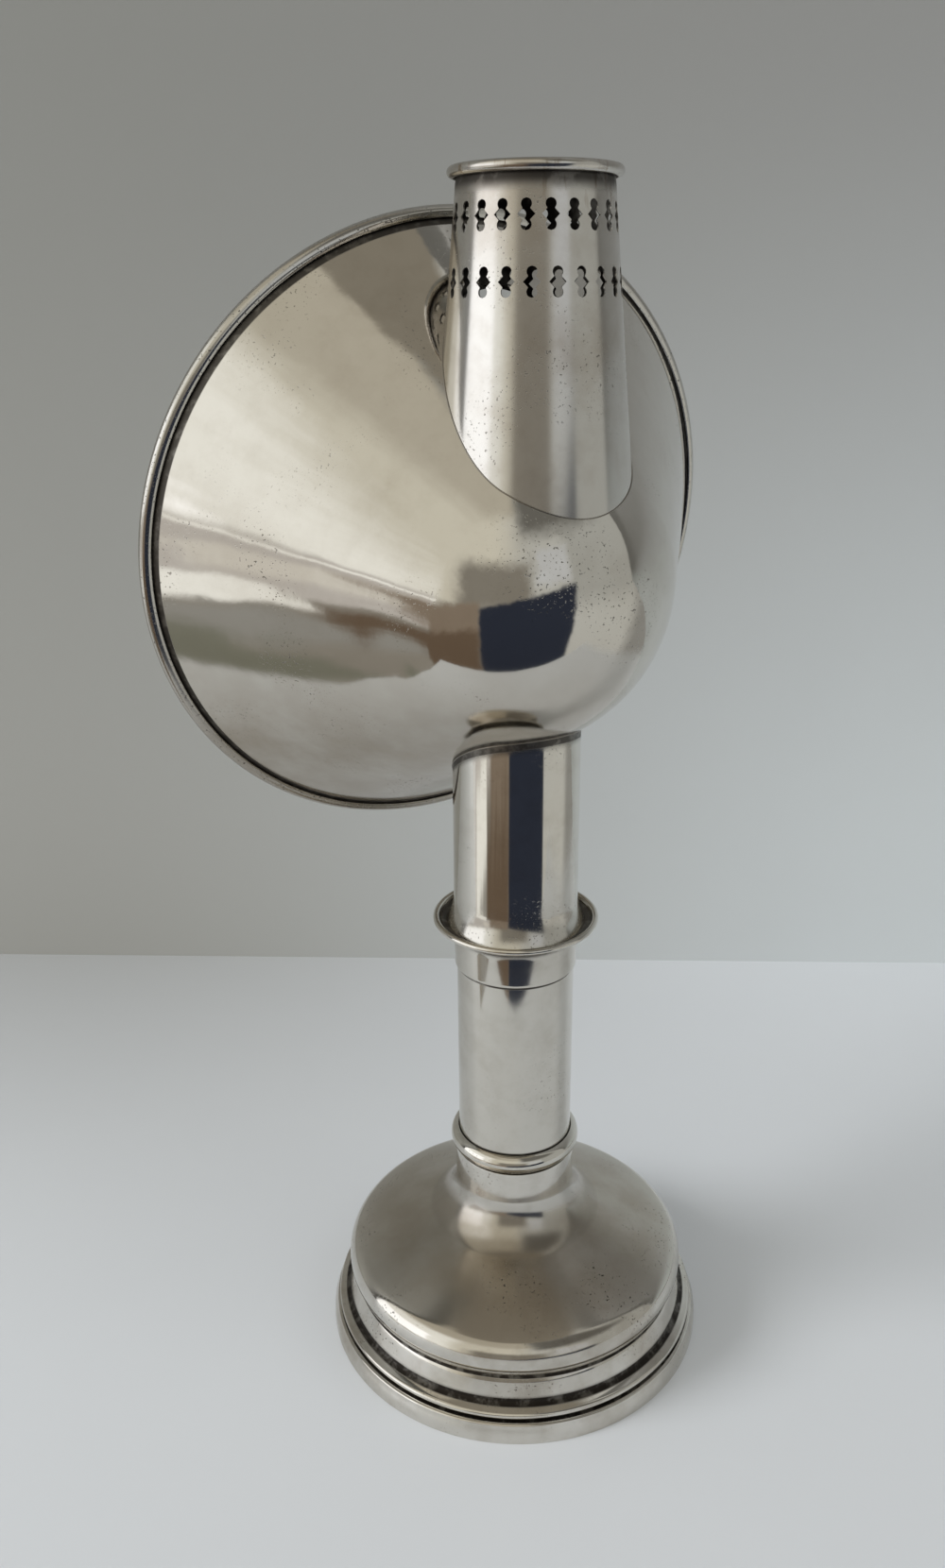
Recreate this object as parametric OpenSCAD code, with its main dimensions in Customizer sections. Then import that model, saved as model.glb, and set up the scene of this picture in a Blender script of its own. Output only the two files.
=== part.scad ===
// Candle reading lamp with a spring-fed candle, a turning reflector and a
// pierced chimney. All sizes are in millimetres. Z is up, the foot stands on
// z = 0 with its centre at the origin, and the reflector faces -Y.

/* [Foot] */
// Diameter of the foot where it meets the table
foot_d = 110; // [100:1:130]
// Height of the plain band round the bottom of the foot
foot_band_h = 5.4; // [4:0.1:7]
// How far the rounded shoulder stands in from the edge of the foot
shoulder_in = 5.5; // [4:0.5:8]
// Height of the lower edge of the shoulder above the table
shoulder_z = 16.4; // [14:0.2:20]
// Radius of the rounded shoulder
shoulder_r = 6.2; // [5:0.1:7]
// Radius of the small bead above the band
band_bead_r = 1; // [0.8:0.05:1.2]
// How far the foot of the slanting waist stands in from the edge of the foot
waist_in = 5; // [4.6:0.1:6]
// How far the waist leans inwards on its way up to the shoulder
waist_lean = 2; // [1:0.1:2.2]
// Slope of the dome above the shoulder, in degrees
dome_slope = 24; // [20:0.5:28]
// Radius of the hollow curve from the dome into the neck
neck_cove_r = 14; // [10:0.5:16]
// Height of the foot up to the neck bead
neck_z = 58.4; // [54:0.2:70]
// Thickness of the spun metal of the foot
foot_wall = 0.8; // [0.6:0.1:1]
// Radius of the half-round bead round the neck's mouth
neck_bead_r = 3.1; // [2.6:0.1:3.6]
// Thickness of the plate that closes the foot
plate_t = 1; // [0.8:0.1:2]
// Height of the ballast ring above the plate
weight_h = 24; // [16:0.5:26]

/* [Stem] */
// Outside diameter of the stem
stem_d = 32.2; // [30:0.2:36]
// Height of the stem's top above the table
stem_top_z = 126.5; // [118:0.5:150]
// Wall of the stem
stem_wall = 0.6; // [0.5:0.05:0.8]
// Height of the stem's lower end above the table
stem_bottom_z = 12; // [8:0.5:16]

/* [Gallery] */
// Wall of the ferrule and of the gallery cup
gallery_wall = 0.55; // [0.45:0.05:0.7]
// Length of the ferrule that slips over the stem
ferrule_l = 8.4; // [6:0.2:14]
// Distance that the cup flares outwards from the ferrule to its lip
cup_flare = 4.9; // [4.5:0.1:7]
// Height of the cup from the ferrule to the middle of its lip
cup_h = 4.4; // [3.6:0.1:6]
// Radius of the rolled lip
lip_r = 0.87; // [0.8:0.01:1.2]

/* [Candle tube] */
// Outside diameter of the tube that holds the candle
tube_d = 30.4; // [29:0.1:30.4]
// Wall of the candle tube
tube_wall = 0.5; // [0.4:0.05:0.7]
// Height of the candle tube's top above the table
tube_top_z = 197; // [190:0.5:205]
// Height of the stop ring that hangs the tube on the stem
stop_ring_h = 0.6; // [0.5:0.1:1]
// Diameter of the two bayonet pins
bayonet_pin_d = 1.8; // [1.4:0.1:2.2]
// Angle that the cap turns to unlock, in degrees
bayonet_turn = 30; // [20:1:45]
// Length of the cap's skirt
cap_skirt_h = 11; // [9:0.5:14]
// Wall of the cap
cap_wall = 0.5; // [0.4:0.05:0.5]
// Diameter of the hole that the wick burns in
cap_hole_d = 20; // [16:0.5:24]
// Thickness of the tube's bottom plug
plug_h = 3; // [2:0.5:5]

/* [Candle and feed] */
// Diameter of the candle
candle_d = 28; // [26:0.1:28]
// Length of a new candle
candle_l = 120; // [90:1:124]
// Diameter of the wick
wick_d = 2; // [1.5:0.1:3]
// Length of wick above the candle
wick_l = 9; // [6:0.5:12]
// Height of the follower that carries the candle
follower_h = 12; // [8:0.5:16]
// Mean diameter of the feed spring
spring_d = 22; // [18:0.5:23]
// Diameter of the spring's wire
spring_wire_d = 1.2; // [1:0.1:1.6]
// Number of turns of the spring
spring_turns = 12; // [8:1:14]

/* [Reflector] */
// Diameter of the reflector at the middle of its rolled rim
rim_d = 162.4; // [150:0.2:175]
// Radius of the rolled rim
rim_bead_r = 1.9; // [1.6:0.1:2.4]
// Distance of the rim's plane ahead of the stem
rim_ahead = 40; // [34:0.5:44]
// Radius of the round nose at the back of the reflector
nose_r = 44; // [42:0.5:46]
// Slope of the cone's side from its axis, in degrees
cone_angle = 38.5; // [37.5:0.5:39.5]
// Height of the reflector's axis above the table, at the stem
axis_z = 221.9; // [218:0.1:226]
// Upward tilt of the reflector's axis, in degrees
axis_tilt = 8.9; // [4:0.1:11]
// Thickness of the reflector's metal
reflector_wall = 0.6; // [0.5:0.05:0.9]

/* [Chimney] */
// Height of the chimney's top above the cone at the chimney's front
chimney_rise = 25.5; // [22:0.1:40]
// Outside diameter of the chimney under its lip
chimney_top_d = 34.7; // [32:0.1:38]
// Taper of the chimney: growth of its radius for each mm downwards
chimney_taper = 0.091; // [0.06:0.001:0.11]
// Distance of the chimney's axis ahead of the back of the nose
chimney_inset = 28.5; // [26.5:0.1:31.5]
// Thickness of the chimney's metal
chimney_wall = 0.5; // [0.4:0.05:0.8]
// Radius of the chimney's rolled lip
chimney_lip_r = 1.25; // [1:0.05:1.6]
// Number of holes in each row
hole_count = 22; // [12:1:24]
// Turn of the upper row of holes, in degrees
row_1_turn = 3.7; // [0:0.1:16]
// Distance from the chimney's top to the middle of the upper row
row_1_down = 10.6; // [9:0.1:14]
// Distance between the two rows
row_pitch = 13.1; // [10:0.1:15]
// Turn of the lower row against the upper one, in degrees
row_2_turn = 4.2; // [0:0.1:16]
// Radius of a hole's upper and lower lobes
lobe_r = 1.15; // [0.9:0.05:1.3]
// Distance of a hole's lobes above and below its middle
lobe_step = 2; // [1.8:0.1:2.4]
// Radius of a hole's middle lobe
middle_lobe_r = 1.35; // [1.2:0.05:1.5]
// Half the width of a hole across its two points
hole_point = 1.9; // [1.6:0.05:2.1]

/* [Head sleeve] */
// Wall of the sleeve under the reflector
sleeve_wall = 0.5; // [0.4:0.05:0.6]
// Height of the flared foot of the sleeve
flare_h = 8.3; // [6:0.1:10]
// Distance that the sleeve's foot flares outwards
flare_out = 2.5; // [2:0.1:3]
// How much the sleeve's radius narrows on its way up to the reflector
sleeve_taper = 0.3; // [0.2:0.1:0.5]

/* [Fits] */
// Radial gap between the stem and the mouth of the neck
neck_gap = 0.2; // [0.1:0.05:0.3]
// Radial gap between the ferrule and the stem
ferrule_gap = 0.08; // [0.05:0.01:0.1]
// Radial gap between the candle tube and what it slides in
tube_gap = 0.3; // [0.3:0.05:0.4]
// Radial gap between the sleeve and the cap that it lifts over
sleeve_gap = 0.5; // [0.4:0.05:0.6]
// Radial gap between the cap and the candle tube
cap_gap = 0.1; // [0.05:0.01:0.1]
// Gap between soldered pieces
solder_gap = 0.03; // [0.02:0.01:0.05]
// Radial gap between the follower and the candle tube
follower_gap = 0.4; // [0.3:0.05:0.6]
// Height of the sleeve's foot above its seat in the cup
seat_gap = 0.3; // [0.2:0.05:0.5]

/* [Hidden] */
$fn = 96;

nickel = [0.74, 0.73, 0.70];
dark_iron = [0.25, 0.25, 0.26];
steel = [0.62, 0.63, 0.65];
brass = [0.72, 0.60, 0.34];
wax = [0.93, 0.90, 0.80];
char_black = [0.12, 0.11, 0.10];

over = 1;                     // how far any other cut runs past what it cuts

// Stem and foot
stem_r = stem_d / 2;
foot_r = foot_d / 2;
neck_bore_r = stem_r + neck_gap;
neck_r = neck_bore_r + foot_wall;
arc_steps = 10;
band_bulge = 0.2;             // how far the band leans inwards up to half its height
band_slope = 1.3;             // how far the band leans inwards over its height
band_edge_r = 0.6;            // radius of the band's upper edge
band_groove = 1.5;            // depth of the groove above the band
shoulder_max_r = foot_r - shoulder_in;
shoulder_groove = 2.3;        // depth of the groove under the shoulder
shoulder_groove_h = 1;        // height of the groove's lower side, and of its upper side
shoulder_up = 5;              // height of the shoulder curve's centre above the groove
shoulder_from = -32;          // angle where the shoulder's curve starts
dome_turn = 90 - dome_slope;  // angle where it runs over into the dome
shoulder_centre = [shoulder_max_r - shoulder_r, shoulder_z + shoulder_up];
dome_start = shoulder_centre + shoulder_r * [cos(dome_turn), sin(dome_turn)];
dome_end_r = neck_r + neck_cove_r * (1 - cos(dome_turn));
dome_end_z = dome_start[1] + (dome_start[0] - dome_end_r) * tan(dome_slope);
neck_cove_z = dome_end_z + neck_cove_r * sin(dome_turn);
waist_r = foot_r - waist_in;
waist_z = foot_band_h + 4 * band_bead_r;
neck_bead_out = 1.35;         // how far the bead stands out from the neck

// Ballast
weight_gap = 1;               // gap between the ballast and the shell
weight_bevel = 9;             // how far the ballast narrows towards its top
weight_side_share = 0.6;      // share of the ballast's height with a straight side
weight_r = shoulder_max_r - shoulder_groove - foot_wall - weight_gap;

// Stop ring, gallery and head sleeve
tube_r = tube_d / 2;
ring_z = stem_top_z;
ledge_z = ring_z + stop_ring_h;
ledge_h = 0.6;                // thickness of the ledge that carries the gallery
ferrule_bore_r = stem_r + ferrule_gap;
ferrule_r = ferrule_bore_r + gallery_wall;
ferrule_bottom_z = ledge_z - stop_ring_h - ferrule_l;
lip_centre_r = ferrule_r + cup_flare;
lip_z = ledge_z + cup_h;
wire_share = 0.55;            // wire radius as a share of the roll round it

// Candle tube and cap
tube_rise = 2;                // height of the candle tube's bottom above the stem's
tube_bottom_z = stem_bottom_z + tube_rise;
cap_bore_r = tube_r + cap_gap;
cap_r = cap_bore_r + cap_wall;
cap_lip_t = 0.8;              // thickness of the lip that the candle bears on
candle_stand = 0.8;           // height of the candle above its tube
candle_top_z = tube_top_z + candle_stand;
cap_top_z = candle_top_z + cap_lip_t;
cap_edge = 0.6;               // bevel round the cap's top
pin_down = 6;                 // depth of the pins below the tube's top
pin_z = tube_top_z - pin_down;
pin_stand = 0.15;             // how far a pin stands out of the cap
plug_top_z = tube_bottom_z + plug_h;
follower_top_z = candle_top_z - candle_l;
follower_bottom_z = follower_top_z - follower_h;
cup_floor_h = 1.2;            // thickness of the follower's floor
spring_top_z = follower_top_z - cup_floor_h;

// Sleeve
sleeve_bore_r = cap_r + sleeve_gap;
sleeve_r = sleeve_bore_r + sleeve_wall;
flare_angle = 2 * atan(flare_out / flare_h);
flare_r = flare_h / sin(flare_angle);
flare_edge_r = sleeve_r + flare_out;

// Reflector: a cone that runs tangent into a round nose
rim_r = rim_d / 2;
cone_run = (rim_r - nose_r / cos(cone_angle)) / tan(cone_angle);
nose_at = rim_ahead - cone_run;
apex_at = nose_at - nose_r / sin(cone_angle);
nose_y = -nose_at * cos(axis_tilt);
nose_z = axis_z + nose_at * sin(axis_tilt);
past = 30;                    // how far a cutting shape runs past the reflector or chimney

// Cup inside height at a given radius, and the sleeve's lower edge on it
cup_in_0 = [ferrule_r, ledge_z + ledge_h];
cup_in_1 = [lip_centre_r - lip_r, lip_z];
function cup_in_z(r) = cup_in_0[1] + (r - cup_in_0[0]) * (cup_in_1[1] - cup_in_0[1])
                       / (cup_in_1[0] - cup_in_0[0]);
sleeve_bottom_z = cup_in_z(flare_edge_r) + seat_gap;

// Chimney: its front meets the cone's upper side at cone_top_z(y)
function cone_top_z(y) = axis_z + apex_at * sin(axis_tilt)
                         - (apex_at * cos(axis_tilt) + y) * tan(cone_angle + axis_tilt);
lip_top_r = chimney_top_d / 2;
chimney_back = nose_y + nose_r - chimney_inset;
chimney_top_z = cone_top_z(chimney_back - lip_top_r) + chimney_rise;
chimney_lip_z = chimney_top_z - chimney_lip_r;
chimney_foot_z = nose_z;
function chimney_r(z) = lip_top_r + chimney_taper * (chimney_lip_z - z);

// Points of an arc about c, from angle a to angle b
function arc(c, r, a, b, n = arc_steps) =
    [for (i = [0 : n]) c + r * [cos(a + (b - a) * i / n), sin(a + (b - a) * i / n)]];

// Unit normal to the left of a path at point i
function left_of(d) = [-d[1], d[0]] / norm(d);
function path_normal(p, i) =
    left_of(p[min(i + 1, len(p) - 1)] - p[max(i - 1, 0)]);
function offset_path(p, w) = [for (i = [0 : len(p) - 1]) p[i] + w * path_normal(p, i)];
function reversed(p) = [for (i = [len(p) - 1 : -1 : 0]) p[i]];

// A solid of revolution from a path of outer points and a wall to its left
module spun(p, w) {
    rotate_extrude() polygon(concat(p, reversed(offset_path(p, w))));
}

module ring(r_out, r_in, z, h) {
    translate([0, 0, z]) difference() {
        cylinder(r = r_out, h = h);
        translate([0, 0, -over]) cylinder(r = r_in, h = h + 2 * over);
    }
}

module torus(ring_r, r, z) {
    translate([0, 0, z]) rotate_extrude() translate([ring_r, 0]) circle(r = r, $fn = 48);
}

// ---- Foot ----

// Outer profile of the foot, from the table up to the neck
function foot_profile() = concat(
    [[foot_r, 0], [foot_r - band_bulge, foot_band_h / 2],
     [foot_r - band_slope + band_edge_r / 2, foot_band_h - band_edge_r]],
    arc([foot_r - band_slope - band_edge_r / 2, foot_band_h - band_edge_r],
        band_edge_r, 0, 80, 4),
    [[foot_r - band_slope - band_groove, foot_band_h + band_edge_r / 2]],
    arc([foot_r - band_slope - band_groove, foot_band_h + 2 * band_bead_r],
        band_bead_r, -60, 80, 6),
    [[waist_r, waist_z], [waist_r - waist_lean, shoulder_z - shoulder_groove_h],
     [shoulder_max_r - shoulder_groove, shoulder_z],
     [shoulder_max_r - shoulder_groove / 2, shoulder_z + shoulder_groove_h]],
    arc(shoulder_centre, shoulder_r, shoulder_from, dome_turn, 12),
    arc([neck_r + neck_cove_r, neck_cove_z], neck_cove_r, 180 + dome_turn, 180, 12),
    [[neck_r, neck_z]]);

module foot_shell() color(nickel) spun(foot_profile(), foot_wall);

module neck_bead() color(nickel)
    rotate_extrude() intersection() {
        translate([neck_r + neck_bead_out - neck_bead_r, neck_z + neck_bead_r])
            circle(r = neck_bead_r, $fn = 64);
        translate([neck_bore_r, neck_z + solder_gap])
            square([2 * neck_bead_r, 2 * neck_bead_r]);
    }

module foot_weight() color(dark_iron) difference() {
    side_h = weight_h * weight_side_share;
    union() {
        translate([0, 0, plate_t]) cylinder(r = weight_r, h = side_h);
        translate([0, 0, plate_t + side_h])
            cylinder(r1 = weight_r, r2 = weight_r - weight_bevel, h = weight_h - side_h);
    }
    translate([0, 0, stem_bottom_z])
        cylinder(r = stem_r + solder_gap, h = weight_h + plate_t);
}

module foot_plate() color(brass)
    cylinder(r = foot_r - foot_wall - solder_gap - band_bulge, h = plate_t);

// ---- Stem ----

module stem_tube() color(nickel)
    ring(stem_r, stem_r - stem_wall, stem_bottom_z, stem_top_z - stem_bottom_z);

// ---- Gallery ----

lip_wire_r = lip_r * wire_share;
module gallery_cup() color(nickel) difference() {
    rotate_extrude() union() {
        translate([ferrule_bore_r, ferrule_bottom_z])
            square([gallery_wall, ledge_z - ferrule_bottom_z + ledge_h / 2]);
        translate([tube_r + tube_gap, ledge_z]) square([ferrule_r - tube_r - tube_gap, ledge_h]);
        polygon([[ferrule_r - gallery_wall, ledge_z], [ferrule_r, ledge_z],
                 [lip_centre_r - lip_r / 4, lip_z - lip_r], cup_in_1, cup_in_0,
                 [ferrule_r - gallery_wall, ledge_z + ledge_h]]);
        translate([lip_centre_r, lip_z]) circle(r = lip_r, $fn = 48);
    }
    torus(lip_centre_r, lip_wire_r + solder_gap, lip_z);
}

module gallery_wire() color(steel) torus(lip_centre_r, lip_wire_r, lip_z);

// ---- Candle tube ----

module candle_tube() color(nickel) difference() {
    ring(tube_r, tube_r - tube_wall, tube_bottom_z, tube_top_z - tube_bottom_z);
    pin_pair(bayonet_pin_d / 2 + solder_gap, tube_r - tube_wall - over, tube_r + over);
}

module tube_stop_ring() color(brass)
    ring(stem_r, tube_r + solder_gap, ring_z, stop_ring_h);

module pin_pair(r, from_r, to_r)
    for (side = [0, 180])
        rotate([0, 0, side]) translate([from_r, 0, pin_z]) rotate([0, 90, 0])
            cylinder(r = r, h = to_r - from_r, $fn = 32);

module bayonet_pins() color(steel)
    pin_pair(bayonet_pin_d / 2, tube_r - tube_wall, cap_r + pin_stand);

plug_flange_h = 1;            // thickness of the plug's closed top
module tube_plug() color(brass) difference() {
    translate([0, 0, tube_bottom_z]) cylinder(r = tube_r - tube_wall - solder_gap, h = plug_h);
    translate([0, 0, tube_bottom_z - over])
        cylinder(r = tube_r / 2, h = plug_h - plug_flange_h + over);
}

// A bayonet slot: a level run and an open way down to the skirt's edge
slot_gap = 0.3;
slot_half_h = bayonet_pin_d / 2 + slot_gap;
slot_end = asin(slot_half_h / tube_r);
function sector(a, b, r, n = 8) =
    concat([[0, 0]], [for (i = [0 : n]) r * [cos(a + (b - a) * i / n), sin(a + (b - a) * i / n)]]);
module bayonet_slot() {
    reach = cap_r + 6 * over;
    translate([0, 0, pin_z - slot_half_h]) linear_extrude(2 * slot_half_h)
        polygon(sector(-bayonet_turn - slot_end, slot_end, reach));
    translate([0, 0, pin_z - cap_skirt_h - over]) linear_extrude(cap_skirt_h + over)
        polygon(sector(-bayonet_turn - slot_end, -bayonet_turn + slot_end, reach));
}

module candle_cap() color(nickel) difference() {
    union() {
        translate([0, 0, cap_top_z - cap_skirt_h])
            cylinder(r = cap_r, h = cap_skirt_h - cap_edge);
        translate([0, 0, cap_top_z - cap_edge])
            cylinder(r1 = cap_r, r2 = cap_r - cap_edge, h = cap_edge);
    }
    translate([0, 0, cap_top_z - cap_skirt_h - over])
        cylinder(r = cap_bore_r, h = cap_skirt_h + over - cap_lip_t);
    translate([0, 0, cap_top_z - 2 * cap_lip_t]) cylinder(d = cap_hole_d, h = 3 * cap_lip_t);
    difference() {
        for (side = [0, 180]) rotate([0, 0, side]) bayonet_slot();
        translate([0, 0, cap_top_z - cap_skirt_h - 2 * over])
            cylinder(r = tube_r - over, h = 2 * cap_skirt_h);
    }
}

// ---- Candle and feed ----

melt_depth = 2;               // depth of the hollow melted round the wick
pool_rim = 2;                 // how far the hollow stays inside the cap's hole
wick_hole_r = wick_d / 2 + solder_gap;
wick_root = 12;               // length of wick held in the candle
module candle() color(wax) difference() {
    translate([0, 0, follower_top_z]) cylinder(d = candle_d, h = candle_l);
    translate([0, 0, candle_top_z - melt_depth])
        cylinder(d1 = 4 * wick_d, d2 = cap_hole_d - pool_rim, h = melt_depth + solder_gap);
    translate([0, 0, candle_top_z - wick_root])
        cylinder(r = wick_hole_r, h = wick_root + over, $fn = 32);
}

module wick() color(char_black)
    translate([0, 0, candle_top_z - wick_root])
        cylinder(d = wick_d, h = wick_root + wick_l, $fn = 32);

follower_wall = 0.8;
module follower() color(brass) difference() {
    translate([0, 0, follower_bottom_z])
        cylinder(r = tube_r - tube_wall - follower_gap, h = follower_h);
    translate([0, 0, follower_bottom_z - over])
        cylinder(r = tube_r - tube_wall - follower_gap - follower_wall,
                 h = follower_h - cup_floor_h + over);
}

// Wire of the spring, swept round a helix between the plug and the follower
spring_sides = 6;
rings_per_turn = 16;
spring_rings = spring_turns * rings_per_turn;
spring_low = plug_top_z + spring_wire_d / 2;
spring_high = spring_top_z - spring_wire_d / 2;
function helix_at(i) =
    let (a = 360 * i / rings_per_turn)
    [spring_d / 2 * cos(a), spring_d / 2 * sin(a),
     spring_low + (spring_high - spring_low) * i / spring_rings];
function wire_ring(i) =
    let (a = 360 * i / rings_per_turn, c = helix_at(i))
    [for (k = [0 : spring_sides - 1])
        let (b = 360 * k / spring_sides, r = spring_wire_d / 2 * cos(b))
        c + [r * cos(a), r * sin(a), spring_wire_d / 2 * sin(b)]];
module feed_spring() color(steel) {
    points = [for (i = [0 : spring_rings]) each wire_ring(i)];
    sides = [for (i = [0 : spring_rings - 1], k = [0 : spring_sides - 1])
        let (j = (k + 1) % spring_sides, a = i * spring_sides, b = a + spring_sides)
        [a + k, b + k, b + j, a + j]];
    last = spring_rings * spring_sides;
    caps = [[for (k = [0 : spring_sides - 1]) k],
            [for (k = [spring_sides - 1 : -1 : 0]) last + k]];
    polyhedron(points = points, faces = concat(sides, caps));
}

// ---- Reflector ----

// Places what is drawn along Z on the reflector's axis, facing -Y
module on_reflector_axis()
    translate([0, 0, axis_z]) rotate([90 - axis_tilt, 0, 0]) children();

// Half outline of the bowl, grown by g, from the nose to the plane at z = far
module bowl_outline(g, far) {
    tangent_in = nose_at - (nose_r + g) * sin(cone_angle);
    tangent_out = (nose_r + g) * cos(cone_angle);
    far_r = tangent_out + (far - tangent_in) * tan(cone_angle);
    intersection() {
        translate([0, nose_at]) circle(r = nose_r + g, $fn = 128);
        translate([0, nose_at - 2 * nose_r])
            square([2 * nose_r, tangent_in - nose_at + 2 * nose_r]);
    }
    polygon([[0, tangent_in], [tangent_out, tangent_in], [far_r, far], [0, far]]);
}

module bowl_solid(g, far) on_reflector_axis() rotate_extrude() bowl_outline(g, far);

rim_wire_r = rim_bead_r - reflector_wall + 3 * solder_gap;
module reflector() color(nickel) difference() {
    on_reflector_axis() rotate_extrude() difference() {
        union() {
            difference() {
                bowl_outline(0, rim_ahead);
                bowl_outline(-reflector_wall, rim_ahead + over);
            }
            translate([rim_r, rim_ahead]) circle(r = rim_bead_r, $fn = 48);
        }
        translate([rim_r, rim_ahead]) circle(r = rim_wire_r + solder_gap, $fn = 48);
    }
    translate([0, 0, stem_top_z])
        cylinder(r1 = sleeve_bore_r, r2 = sleeve_bore_r - sleeve_taper, h = axis_z - stem_top_z);
    chimney_core(chimney_wall);
}

module reflector_wire() color(steel)
    on_reflector_axis() torus(rim_r, rim_wire_r, rim_ahead);

// ---- Chimney ----

module chimney_core(inset)
    translate([0, chimney_back, chimney_foot_z])
        cylinder(r1 = chimney_r(chimney_foot_z) - inset,
                 r2 = chimney_r(chimney_top_z + past) - inset,
                 h = chimney_top_z + past - chimney_foot_z);

module hole_shape() {
    circle(r = middle_lobe_r, $fn = 32);
    for (side = [-1, 1]) translate([0, side * lobe_step]) circle(r = lobe_r, $fn = 32);
    polygon([[hole_point, 0], [0, hole_point], [-hole_point, 0], [0, -hole_point]]);
}

hole_reach = 8;               // length of the cut through the wall for each hole
module hole_row(z, turn)
    translate([0, chimney_back, z])
        for (i = [0 : hole_count - 1])
            rotate([0, 0, turn + i * 360 / hole_count])
                translate([chimney_r(z) - hole_reach / 2, 0, 0]) rotate([90, 0, 90])
                    linear_extrude(hole_reach) hole_shape();

row_1_z = chimney_top_z - row_1_down;
row_2_z = row_1_z - row_pitch;
chimney_wire_r = chimney_lip_r * wire_share;
roll_step = 0.05;             // step from the chimney's bore out to the roll of its lip
lip_ring_r = lip_top_r - chimney_wall + roll_step + chimney_lip_r;
module chimney() color(nickel) difference() {
    translate([0, chimney_back, 0]) union() {
        translate([0, 0, chimney_foot_z])
            cylinder(r1 = chimney_r(chimney_foot_z), r2 = lip_top_r,
                     h = chimney_lip_z - chimney_foot_z);
        torus(lip_ring_r, chimney_lip_r, chimney_lip_z);
    }
    chimney_core(chimney_wall);
    bowl_solid(solder_gap, rim_ahead + past);
    translate([0, chimney_back, 0])
        torus(lip_ring_r, chimney_wire_r + solder_gap, chimney_lip_z);
    hole_row(row_1_z, row_1_turn);
    hole_row(row_2_z, row_1_turn + row_2_turn);
}

module chimney_wire() color(steel)
    translate([0, chimney_back, 0]) torus(lip_ring_r, chimney_wire_r, chimney_lip_z);

// ---- Head sleeve ----

// Outer path of the sleeve, from its flared edge up to inside the reflector
function sleeve_profile() = concat(
    arc([sleeve_r + flare_r, sleeve_bottom_z + flare_h], flare_r, 180 + flare_angle, 180),
    [[sleeve_r - sleeve_taper, axis_z]]);

module head_sleeve() color(nickel) difference() {
    spun(sleeve_profile(), sleeve_wall);
    bowl_solid(solder_gap, rim_ahead + past);
}

foot_shell();
neck_bead();
foot_weight();
foot_plate();
stem_tube();
gallery_cup();
gallery_wire();
candle_tube();
tube_stop_ring();
bayonet_pins();
tube_plug();
candle_cap();
candle();
wick();
follower();
feed_spring();
reflector();
reflector_wire();
chimney();
chimney_wire();
head_sleeve();
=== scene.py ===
"""Looks of a candle reading lamp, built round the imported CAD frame.

Sizes are written in millimetres and become metres when a mesh is made.
"""
import math

import bpy
import numpy as np
from mathutils import Matrix, Vector


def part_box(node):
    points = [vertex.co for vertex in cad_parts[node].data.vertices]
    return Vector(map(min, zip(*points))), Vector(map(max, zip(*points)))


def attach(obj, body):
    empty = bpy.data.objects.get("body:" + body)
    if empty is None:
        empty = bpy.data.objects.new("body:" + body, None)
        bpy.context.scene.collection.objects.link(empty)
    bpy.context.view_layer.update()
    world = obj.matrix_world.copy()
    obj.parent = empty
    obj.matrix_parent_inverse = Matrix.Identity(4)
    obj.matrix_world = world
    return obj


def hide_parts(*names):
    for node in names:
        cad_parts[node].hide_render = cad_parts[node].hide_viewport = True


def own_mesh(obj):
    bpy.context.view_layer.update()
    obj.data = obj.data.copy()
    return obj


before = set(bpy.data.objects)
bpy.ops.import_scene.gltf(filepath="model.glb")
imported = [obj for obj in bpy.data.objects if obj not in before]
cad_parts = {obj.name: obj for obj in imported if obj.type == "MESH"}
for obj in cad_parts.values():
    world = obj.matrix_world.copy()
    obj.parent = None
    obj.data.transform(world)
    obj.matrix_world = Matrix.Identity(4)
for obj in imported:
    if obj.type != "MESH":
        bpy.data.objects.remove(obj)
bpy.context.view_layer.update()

MM = 0.001
SEGMENTS = 256


# ---- Outlines: lists of (radius, height) points ----

def arc(centre, r, a, b, n):
    """Points of an arc about centre, from angle a to angle b in degrees."""
    angles = [math.radians(a + (b - a) * i / n) for i in range(n + 1)]
    return [(centre[0] + r * math.cos(t), centre[1] + r * math.sin(t)) for t in angles]


def offset(path, w):
    """The open path, moved by w to its left."""
    p = np.array(path, float)
    along = np.vstack([p[1] - p[0], p[2:] - p[:-2], p[-1] - p[-2]])
    along /= np.linalg.norm(along, axis=1)[:, None]
    return [tuple(q) for q in p + w * np.column_stack([-along[:, 1], along[:, 0]])]


def shell(path, wall):
    """Closed outline of a wall that stands to the left of the path."""
    return list(path) + offset(path, wall)[::-1]


def refine(path, step):
    """The open path with more points, so that none of its stretches is longer than step."""
    fine = [path[0]]
    for a, b in zip(path, path[1:]):
        n = max(1, math.ceil(math.dist(a, b) / step))
        fine += [(a[0] + (b[0] - a[0]) * i / n, a[1] + (b[1] - a[1]) * i / n) for i in range(1, n + 1)]
    return fine


def turns(p):
    """Angle by which a closed outline turns left at each of its points."""
    before = p - np.roll(p, 1, 0)
    after = np.roll(p, -1, 0) - p
    cross = before[:, 0] * after[:, 1] - before[:, 1] * after[:, 0]
    return np.arctan2(cross, (before * after).sum(1))


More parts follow.
